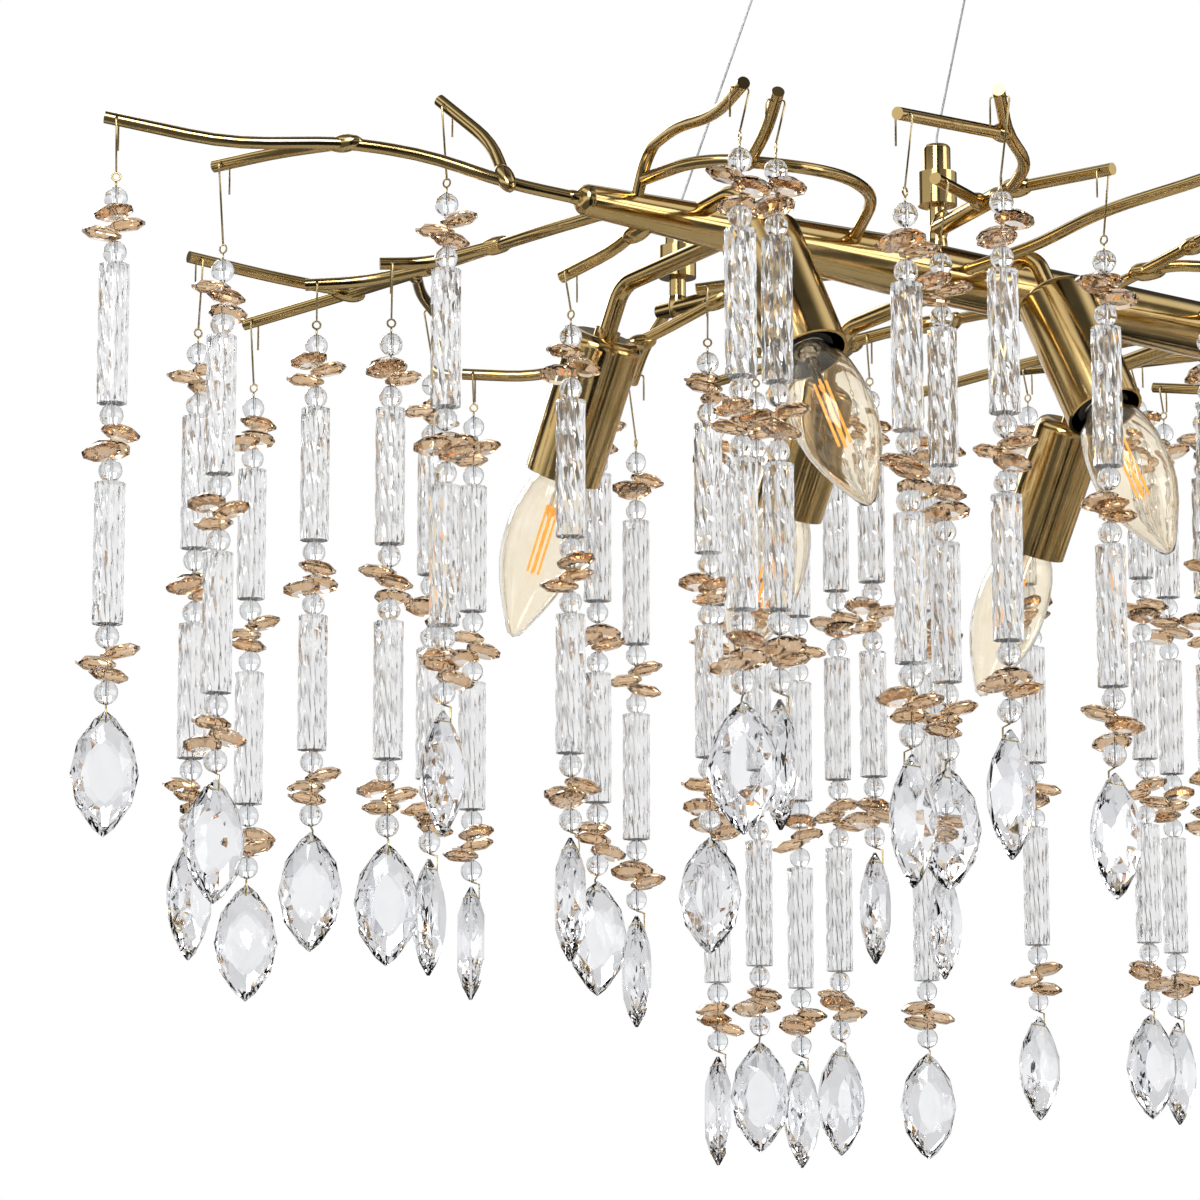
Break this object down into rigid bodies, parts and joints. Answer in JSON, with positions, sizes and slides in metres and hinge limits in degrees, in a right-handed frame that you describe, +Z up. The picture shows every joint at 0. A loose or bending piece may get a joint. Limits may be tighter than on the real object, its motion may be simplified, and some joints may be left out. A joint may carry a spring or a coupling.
{
  "type": "crystal branch chandelier",
  "caption": "Linear gold branch chandelier hung on thin cables, with bent twigs carrying crystal strands and tilted candle lamps along a tubular beam.",
  "frame": {"origin": "centre of the ceiling bracket's top face, in the plane of the ceiling and the canopy's rim", "axes": "+Z up into the ceiling, +X along the beam, +Y across it; the half shown in the picture is at negative X"},
  "size_m": [1.2308, 0.5244, 0.841],
  "materials": {
    "gold": "satin antique gold",
    "clear_glass": "cut crystal, clear with champagne discs",
    "bulb_glass": "clear amber-tinted glass",
    "dark_plastic": "matte",
    "steel_cable": "fine stranded",
    "steel": "zinc plated"
  },
  "bodies": {
    "frame": {"main_beam": "gold", "end_branches": "gold", "hanger_branches": "gold", "arch_branches": "gold", "centre_branches": "gold", "lamp_arms": "gold", "lamp_holders": "gold", "lamp_sockets": "dark_plastic", "gripper_bodies": "gold", "suspension_cables": "steel_cable", "cable_anchors": "gold", "canopy_cover": "gold", "ceiling_bracket": "steel", "canopy_screws": "gold", "cord_glands": "gold"},
    "strand_pair_01": {"strand_pair_01": "clear_glass"},
    "strand_pair_02": {"strand_pair_02": "clear_glass"},
    "strand_pair_03": {"strand_pair_03": "clear_glass"},
    "strand_pair_04": {"strand_pair_04": "clear_glass"},
    "strand_pair_05": {"strand_pair_05": "clear_glass"},
    "strand_pair_06": {"strand_pair_06": "clear_glass"},
    "strand_pair_07": {"strand_pair_07": "clear_glass"},
    "strand_pair_08": {"strand_pair_08": "clear_glass"},
    "strand_pair_09": {"strand_pair_09": "clear_glass"},
    "strand_pair_10": {"strand_pair_10": "clear_glass"},
    "strand_pair_11": {"strand_pair_11": "clear_glass"},
    "strand_pair_12": {"strand_pair_12": "clear_glass"},
    "strand_pair_13": {"strand_pair_13": "clear_glass"},
    "strand_pair_14": {"strand_pair_14": "clear_glass"},
    "strand_pair_15": {"strand_pair_15": "clear_glass"},
    "strand_pair_16": {"strand_pair_16": "clear_glass"},
    "strand_pair_17": {"strand_pair_17": "clear_glass"},
    "strand_pair_18": {"strand_pair_18": "clear_glass"},
    "strand_pair_19": {"strand_pair_19": "clear_glass"},
    "strand_pair_20": {"strand_pair_20": "clear_glass"},
    "strand_pair_21": {"strand_pair_21": "clear_glass"},
    "strand_pair_22": {"strand_pair_22": "clear_glass"},
    "strand_pair_23": {"strand_pair_23": "clear_glass"},
    "strand_pair_24": {"strand_pair_24": "clear_glass"},
    "strand_pair_25": {"strand_pair_25": "clear_glass"},
    "strand_pair_26": {"strand_pair_26": "clear_glass"},
    "strand_pair_27": {"strand_pair_27": "clear_glass"},
    "strand_pair_28": {"strand_pair_28": "clear_glass"},
    "strand_pair_29": {"strand_pair_29": "clear_glass"},
    "strand_pair_30": {"strand_pair_30": "clear_glass"},
    "bulb_01": {"bulb_01": "bulb_glass"},
    "bulb_02": {"bulb_02": "bulb_glass"},
    "bulb_03": {"bulb_03": "bulb_glass"},
    "bulb_04": {"bulb_04": "bulb_glass"},
    "bulb_05": {"bulb_05": "bulb_glass"},
    "bulb_06": {"bulb_06": "bulb_glass"},
    "bulb_07": {"bulb_07": "bulb_glass"},
    "bulb_08": {"bulb_08": "bulb_glass"},
    "bulb_09": {"bulb_09": "bulb_glass"},
    "bulb_10": {"bulb_10": "bulb_glass"},
    "gripper_plunger_1": {"gripper_plunger_1": "gold"},
    "gripper_plunger_2": {"gripper_plunger_2": "gold"},
    "gripper_plunger_3": {"gripper_plunger_3": "gold"},
    "gripper_plunger_4": {"gripper_plunger_4": "gold"}
  },
  "joints": [
    {"name": "strand_01_swing", "type": "hinge", "parent": "frame", "child": "strand_pair_01", "pos_m": [0, 0, -0.36131], "axis": [-0.9745, 0.2244, 0], "range_deg": [-3, 3]},
    {"name": "strand_02_swing", "type": "hinge", "parent": "frame", "child": "strand_pair_02", "pos_m": [0, 0, -0.34788], "axis": [-0.9921, 0.1253, 0], "range_deg": [-3, 3]},
    {"name": "strand_03_swing", "type": "hinge", "parent": "frame", "child": "strand_pair_03", "pos_m": [0, 0, -0.37569], "axis": [-0.9734, 0.229, 0], "range_deg": [-3, 3]},
    {"name": "strand_04_swing", "type": "hinge", "parent": "frame", "child": "strand_pair_04", "pos_m": [0, 0, -0.41688], "axis": [-0.8775, 0.4796, 0], "range_deg": [-3, 3]},
    {"name": "strand_05_swing", "type": "hinge", "parent": "frame", "child": "strand_pair_05", "pos_m": [0, 0, -0.41274], "axis": [-0.969, 0.2469, 0], "range_deg": [-3, 3]},
    {"name": "strand_06_swing", "type": "hinge", "parent": "frame", "child": "strand_pair_06", "pos_m": [0, 0, -0.41059], "axis": [-0.9293, 0.3694, 0], "range_deg": [-3, 3]},
    {"name": "strand_07_swing", "type": "hinge", "parent": "frame", "child": "strand_pair_07", "pos_m": [0, 0, -0.39761], "axis": [-0.9167, 0.3996, 0], "range_deg": [-3, 3]},
    {"name": "strand_08_swing", "type": "hinge", "parent": "frame", "child": "strand_pair_08", "pos_m": [0, 0, -0.40965], "axis": [-0.8917, 0.4526, 0], "range_deg": [-3, 3]},
    {"name": "strand_09_swing", "type": "hinge", "parent": "frame", "child": "strand_pair_09", "pos_m": [0, 0, -0.42065], "axis": [-0.992, 0.1262, 0], "range_deg": [-3, 3]},
    {"name": "strand_10_swing", "type": "hinge", "parent": "frame", "child": "strand_pair_10", "pos_m": [0, 0, -0.41899], "axis": [-0.7294, 0.6841, 0], "range_deg": [-3, 3]},
    {"name": "strand_11_swing", "type": "hinge", "parent": "frame", "child": "strand_pair_11", "pos_m": [0, 0, -0.42742], "axis": [-0.8008, 0.5989, 0], "range_deg": [-3, 3]},
    {"name": "strand_12_swing", "type": "hinge", "parent": "frame", "child": "strand_pair_12", "pos_m": [0, 0, -0.42107], "axis": [-0.865, 0.5018, 0], "range_deg": [-3, 3]},
    {"name": "strand_13_swing", "type": "hinge", "parent": "frame", "child": "strand_pair_13", "pos_m": [0, 0, -0.39915], "axis": [-0.9396, 0.3423, 0], "range_deg": [-3, 3]},
    {"name": "strand_14_swing", "type": "hinge", "parent": "frame", "child": "strand_pair_14", "pos_m": [0, 0, -0.36544], "axis": [-0.8857, -0.4642, 0], "range_deg": [-3, 3]},
    {"name": "strand_15_swing", "type": "hinge", "parent": "frame", "child": "strand_pair_15", "pos_m": [0, 0, -0.3862], "axis": [-0.9147, -0.4042, 0], "range_deg": [-3, 3]},
    {"name": "strand_16_swing", "type": "hinge", "parent": "frame", "child": "strand_pair_16", "pos_m": [0, 0, -0.3788], "axis": [-0.9628, -0.2704, 0], "range_deg": [-3, 3]},
    {"name": "strand_17_swing", "type": "hinge", "parent": "frame", "child": "strand_pair_17", "pos_m": [0, 0, -0.38282], "axis": [-0.8401, -0.5425, 0], "range_deg": [-3, 3]},
    {"name": "strand_18_swing", "type": "hinge", "parent": "frame", "child": "strand_pair_18", "pos_m": [0, 0, -0.37742], "axis": [-0.96, -0.28, 0], "range_deg": [-3, 3]},
    {"name": "strand_19_swing", "type": "hinge", "parent": "frame", "child": "strand_pair_19", "pos_m": [0, 0, -0.37031], "axis": [-0.9664, -0.257, 0], "range_deg": [-3, 3]},
    {"name": "strand_20_swing", "type": "hinge", "parent": "frame", "child": "strand_pair_20", "pos_m": [0, 0, -0.40421], "axis": [-0.4807, 0.8769, 0], "range_deg": [-3, 3]},
    {"name": "strand_21_swing", "type": "hinge", "parent": "frame", "child": "strand_pair_21", "pos_m": [0, 0, -0.39929], "axis": [-0.6153, 0.7883, 0], "range_deg": [-3, 3]},
    {"name": "strand_22_swing", "type": "hinge", "parent": "frame", "child": "strand_pair_22", "pos_m": [0, 0, -0.40431], "axis": [-0.2849, 0.9586, 0], "range_deg": [-3, 3]},
    {"name": "strand_23_swing", "type": "hinge", "parent": "frame", "child": "strand_pair_23", "pos_m": [0, 0, -0.39957], "axis": [-0.4457, 0.8952, 0], "range_deg": [-3, 3]},
    {"name": "strand_24_swing", "type": "hinge", "parent": "frame", "child": "strand_pair_24", "pos_m": [0, 0, -0.39902], "axis": [-0.7132, 0.7009, 0], "range_deg": [-3, 3]},
    {"name": "strand_25_swing", "type": "hinge", "parent": "frame", "child": "strand_pair_25", "pos_m": [0, 0, -0.40415], "axis": [-0.4923, 0.8704, 0], "range_deg": [-3, 3]},
    {"name": "strand_26_swing", "type": "hinge", "parent": "frame", "child": "strand_pair_26", "pos_m": [0, 0, -0.39939], "axis": [-0.0552, 0.9985, 0], "range_deg": [-3, 3]},
    {"name": "strand_27_swing", "type": "hinge", "parent": "frame", "child": "strand_pair_27", "pos_m": [0, 0, -0.37596], "axis": [-0.6644, -0.7473, 0], "range_deg": [-3, 3]},
    {"name": "strand_28_swing", "type": "hinge", "parent": "frame", "child": "strand_pair_28", "pos_m": [0, 0, -0.37574], "axis": [-0.5738, -0.819, 0], "range_deg": [-3, 3]},
    {"name": "strand_29_swing", "type": "hinge", "parent": "frame", "child": "strand_pair_29", "pos_m": [0, 0, -0.38947], "axis": [-0.7242, -0.6896, 0], "range_deg": [-3, 3]},
    {"name": "strand_30_swing", "type": "hinge", "parent": "frame", "child": "strand_pair_30", "pos_m": [0, 0, -0.37544], "axis": [-0.3216, -0.9469, 0], "range_deg": [-3, 3]},
    {"name": "bulb_01_turn", "type": "hinge", "parent": "frame", "child": "bulb_01", "pos_m": [-0.341, 0.089, -0.437], "axis": [0, 0.4695, -0.8829], "range_deg": [0, 180]},
    {"name": "bulb_02_turn", "type": "hinge", "parent": "frame", "child": "bulb_02", "pos_m": [-0.19, 0.089, -0.437], "axis": [0, 0.4695, -0.8829], "range_deg": [0, 180]},
    {"name": "bulb_03_turn", "type": "hinge", "parent": "frame", "child": "bulb_03", "pos_m": [-0.01, 0.089, -0.437], "axis": [0, 0.4695, -0.8829], "range_deg": [0, 180]},
    {"name": "bulb_04_turn", "type": "hinge", "parent": "frame", "child": "bulb_04", "pos_m": [-0.358, -0.046, -0.414], "axis": [0, -0.4695, -0.8829], "range_deg": [0, 180]},
    {"name": "bulb_05_turn", "type": "hinge", "parent": "frame", "child": "bulb_05", "pos_m": [-0.161, -0.046, -0.414], "axis": [0, -0.4695, -0.8829], "range_deg": [0, 180]},
    {"name": "bulb_06_turn", "type": "hinge", "parent": "frame", "child": "bulb_06", "pos_m": [0.341, -0.089, -0.437], "axis": [0, -0.4695, -0.8829], "range_deg": [0, 180]},
    {"name": "bulb_07_turn", "type": "hinge", "parent": "frame", "child": "bulb_07", "pos_m": [0.19, -0.089, -0.437], "axis": [0, -0.4695, -0.8829], "range_deg": [0, 180]},
    {"name": "bulb_08_turn", "type": "hinge", "parent": "frame", "child": "bulb_08", "pos_m": [0.01, -0.089, -0.437], "axis": [0, -0.4695, -0.8829], "range_deg": [0, 180]},
    {"name": "bulb_09_turn", "type": "hinge", "parent": "frame", "child": "bulb_09", "pos_m": [0.358, 0.046, -0.414], "axis": [0, 0.4695, -0.8829], "range_deg": [0, 180]},
    {"name": "bulb_10_turn", "type": "hinge", "parent": "frame", "child": "bulb_10", "pos_m": [0.161, 0.046, -0.414], "axis": [0, 0.4695, -0.8829], "range_deg": [0, 180]},
    {"name": "plunger_1_press", "type": "slide", "parent": "frame", "child": "gripper_plunger_1", "axis": [0, 0, -1], "range_m": [0, 0.003], "stiffness_N_per_m": 1500, "springref_m": -0.002},
    {"name": "plunger_2_press", "type": "slide", "parent": "frame", "child": "gripper_plunger_2", "axis": [0, 0, -1], "range_m": [0, 0.003], "stiffness_N_per_m": 1500, "springref_m": -0.002},
    {"name": "plunger_3_press", "type": "slide", "parent": "frame", "child": "gripper_plunger_3", "axis": [0, 0, -1], "range_m": [0, 0.003], "stiffness_N_per_m": 1500, "springref_m": -0.002},
    {"name": "plunger_4_press", "type": "slide", "parent": "frame", "child": "gripper_plunger_4", "axis": [0, 0, -1], "range_m": [0, 0.003], "stiffness_N_per_m": 1500, "springref_m": -0.002}
  ]
}
